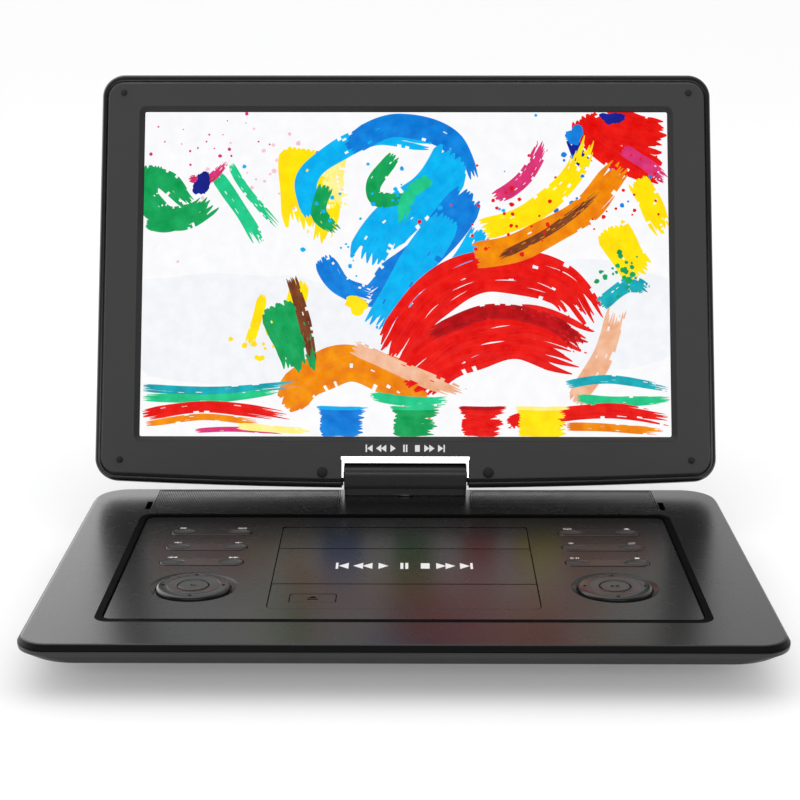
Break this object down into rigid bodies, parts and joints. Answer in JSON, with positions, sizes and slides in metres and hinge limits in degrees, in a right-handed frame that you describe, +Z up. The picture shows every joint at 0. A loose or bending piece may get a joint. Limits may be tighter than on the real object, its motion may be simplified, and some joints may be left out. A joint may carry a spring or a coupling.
{
  "type": "portable dvd player",
  "caption": "Portable disc player with a tilting, swivelling screen lid, a hinged disc door, rocker keys and direction pads on a sunken control panel.",
  "frame": {"origin": "on the surface the feet stand on, below the centre of the open object's bounding box", "axes": "+X to the user's right along the hinge, +Y from the front edge towards the screen, +Z up"},
  "size_m": [0.354, 0.3246, 0.2574],
  "materials": {
    "shell_plastic": "fine satin moulded plastic",
    "cover_plastic": "semi-gloss black with a faint grain",
    "panel_plastic": "semi-gloss black",
    "door_plastic": "semi-gloss black",
    "key_plastic": "semi-gloss black",
    "grille_plastic": "fine perforated plastic",
    "bezel_plastic": "matt dark grey",
    "rear_plastic": "gloss black",
    "display": "lit colour display",
    "chrome_plating": "bright chrome plating",
    "hinge_plastic": "satin black",
    "steel": "bright steel",
    "screw_metal": "black oxide steel",
    "socket_metal": "plated sheet steel",
    "foot_rubber": "matt black rubber",
    "bumper_rubber": "matt black rubber",
    "mechanism_plastic": "matt black",
    "circuit_board": "green solder mask",
    "battery_wrap": "dark blue shrink wrap"
  },
  "bodies": {
    "base": {"lower_shell": "shell_plastic", "top_cover": "cover_plastic", "control_panel": "panel_plastic", "disc_deck": "mechanism_plastic", "spindle_motor": "steel", "guide_rail_left": "steel", "guide_rail_right": "steel", "sled_motor": "steel", "main_board": "circuit_board", "battery_pack": "battery_wrap", "speaker_left": "mechanism_plastic", "speaker_right": "mechanism_plastic", "speaker_grille_left": "grille_plastic", "speaker_grille_right": "grille_plastic", "foot_front_left": "foot_rubber", "foot_front_right": "foot_rubber", "foot_rear_left": "foot_rubber", "foot_rear_right": "foot_rubber", "usb_socket": "socket_metal", "card_reader": "socket_metal", "headphone_jack": "mechanism_plastic", "av_jack": "mechanism_plastic", "dc_jack": "mechanism_plastic", "swivel_bracket": "steel", "shell_screw_front_left": "screw_metal", "shell_screw_front_right": "screw_metal", "shell_screw_rear_left": "screw_metal", "shell_screw_rear_right": "screw_metal"},
    "disc_door": {"disc_door": "door_plastic"},
    "open_button": {"open_button": "door_plastic"},
    "turntable": {"spindle_hub": "mechanism_plastic"},
    "pickup_sled": {"pickup_sled": "mechanism_plastic"},
    "lead_screw": {"lead_screw": "steel"},
    "rocker_left_1": {"rocker_left_1": "key_plastic"},
    "rocker_left_2": {"rocker_left_2": "key_plastic"},
    "rocker_left_3": {"rocker_left_3": "key_plastic"},
    "dpad_pivot_left": {"dpad_pivot_left": "mechanism_plastic"},
    "dpad_ring_left": {"dpad_ring_left": "key_plastic"},
    "dpad_centre_left": {"dpad_centre_left": "key_plastic"},
    "rocker_right_1": {"rocker_right_1": "key_plastic"},
    "rocker_right_2": {"rocker_right_2": "key_plastic"},
    "rocker_right_3": {"rocker_right_3": "key_plastic"},
    "dpad_pivot_right": {"dpad_pivot_right": "mechanism_plastic"},
    "dpad_ring_right": {"dpad_ring_right": "key_plastic"},
    "dpad_centre_right": {"dpad_centre_right": "key_plastic"},
    "power_switch": {"power_switch": "key_plastic"},
    "swivel": {"swivel_post": "hinge_plastic", "hinge_housing": "hinge_plastic"},
    "lid": {"lid_bezel": "bezel_plastic", "lid_rear_cover": "rear_plastic", "lcd_panel": "display", "chrome_trim": "chrome_plating", "bumper_top_left": "bumper_rubber", "bumper_top_right": "bumper_rubber", "bumper_bottom_left": "bumper_rubber", "bumper_bottom_right": "bumper_rubber", "bumper_middle_left": "bumper_rubber", "bumper_middle_right": "bumper_rubber", "hinge_shaft_left": "steel", "hinge_shaft_right": "steel"}
  },
  "joints": [
    {"name": "lid_swivel", "type": "hinge", "parent": "base", "child": "swivel", "pos_m": [0, 0.075, 0.0273], "axis": [0, 0, 1], "range_deg": [-90, 180]},
    {"name": "lid_tilt", "type": "hinge", "parent": "swivel", "child": "lid", "pos_m": [0, 0.075, 0.0364], "axis": [1, 0, 0], "range_deg": [-69.4, 110.6]},
    {"name": "disc_door_hinge", "type": "hinge", "parent": "base", "child": "disc_door", "pos_m": [0, 0.012, 0.024], "axis": [-1, 0, 0], "range_deg": [0, 65]},
    {"name": "open_button_press", "type": "hinge", "parent": "disc_door", "child": "open_button", "pos_m": [-0.0441, -0.1024, 0.02475], "axis": [-1, 0, 0], "range_deg": [0, 3.5], "stiffness_Nm_per_rad": 0.02},
    {"name": "turntable_spin", "type": "hinge", "parent": "base", "child": "turntable", "pos_m": [0, -0.04895, 0.021], "axis": [0, 0, 1], "continuous": true},
    {"name": "sled_slide", "type": "slide", "parent": "base", "child": "pickup_sled", "axis": [0, 1, 0], "range_m": [0, 0.031]},
    {"name": "lead_screw_spin", "type": "hinge", "parent": "base", "child": "lead_screw", "pos_m": [-0.013, -0.0062, 0.008], "axis": [0, -1, 0], "range_deg": [-10, 3740]},
    {"name": "rocker_left_1_rock", "type": "hinge", "parent": "base", "child": "rocker_left_1", "pos_m": [-0.1037, 0.0042, 0.0243], "axis": [0, 1, 0], "range_deg": [-3, 3], "stiffness_Nm_per_rad": 0.03},
    {"name": "rocker_left_2_rock", "type": "hinge", "parent": "base", "child": "rocker_left_2", "pos_m": [-0.1037, -0.0203, 0.0243], "axis": [0, 1, 0], "range_deg": [-3, 3], "stiffness_Nm_per_rad": 0.03},
    {"name": "rocker_left_3_rock", "type": "hinge", "parent": "base", "child": "rocker_left_3", "pos_m": [-0.1037, -0.0443, 0.0243], "axis": [0, 1, 0], "range_deg": [-3, 3], "stiffness_Nm_per_rad": 0.03},
    {"name": "dpad_left_tip_fore_aft", "type": "hinge", "parent": "base", "child": "dpad_pivot_left", "pos_m": [-0.1037, -0.081, 0.0233], "axis": [1, 0, 0], "range_deg": [-1.5, 1.5], "stiffness_Nm_per_rad": 0.05},
    {"name": "dpad_left_tip_sideways", "type": "hinge", "parent": "dpad_pivot_left", "child": "dpad_ring_left", "pos_m": [-0.1037, -0.081, 0.0233], "axis": [0, 1, 0], "range_deg": [-1.5, 1.5], "stiffness_Nm_per_rad": 0.05},
    {"name": "dpad_left_centre_press", "type": "slide", "parent": "dpad_ring_left", "child": "dpad_centre_left", "axis": [0, 0, -1], "range_m": [0, 0.0006], "stiffness_N_per_m": 300},
    {"name": "rocker_right_1_rock", "type": "hinge", "parent": "base", "child": "rocker_right_1", "pos_m": [0.1037, 0.0042, 0.0243], "axis": [0, 1, 0], "range_deg": [-3, 3], "stiffness_Nm_per_rad": 0.03},
    {"name": "rocker_right_2_rock", "type": "hinge", "parent": "base", "child": "rocker_right_2", "pos_m": [0.1037, -0.0203, 0.0243], "axis": [0, 1, 0], "range_deg": [-3, 3], "stiffness_Nm_per_rad": 0.03},
    {"name": "rocker_right_3_rock", "type": "hinge", "parent": "base", "child": "rocker_right_3", "pos_m": [0.1037, -0.0443, 0.0243], "axis": [0, 1, 0], "range_deg": [-3, 3], "stiffness_Nm_per_rad": 0.03},
    {"name": "dpad_right_tip_fore_aft", "type": "hinge", "parent": "base", "child": "dpad_pivot_right", "pos_m": [0.1037, -0.081, 0.0233], "axis": [1, 0, 0], "range_deg": [-1.5, 1.5], "stiffness_Nm_per_rad": 0.05},
    {"name": "dpad_right_tip_sideways", "type": "hinge", "parent": "dpad_pivot_right", "child": "dpad_ring_right", "pos_m": [0.1037, -0.081, 0.0233], "axis": [0, 1, 0], "range_deg": [-1.5, 1.5], "stiffness_Nm_per_rad": 0.05},
    {"name": "dpad_right_centre_press", "type": "slide", "parent": "dpad_ring_right", "child": "dpad_centre_right", "axis": [0, 0, -1], "range_m": [0, 0.0006], "stiffness_N_per_m": 300},
    {"name": "power_switch_slide", "type": "slide", "parent": "base", "child": "power_switch", "axis": [0, 1, 0], "range_m": [0, 0.005]}
  ],
  "couplings": [
    {"joint": "lead_screw_spin", "follows": "sled_slide", "rad_per_m": 2094.4}
  ]
}
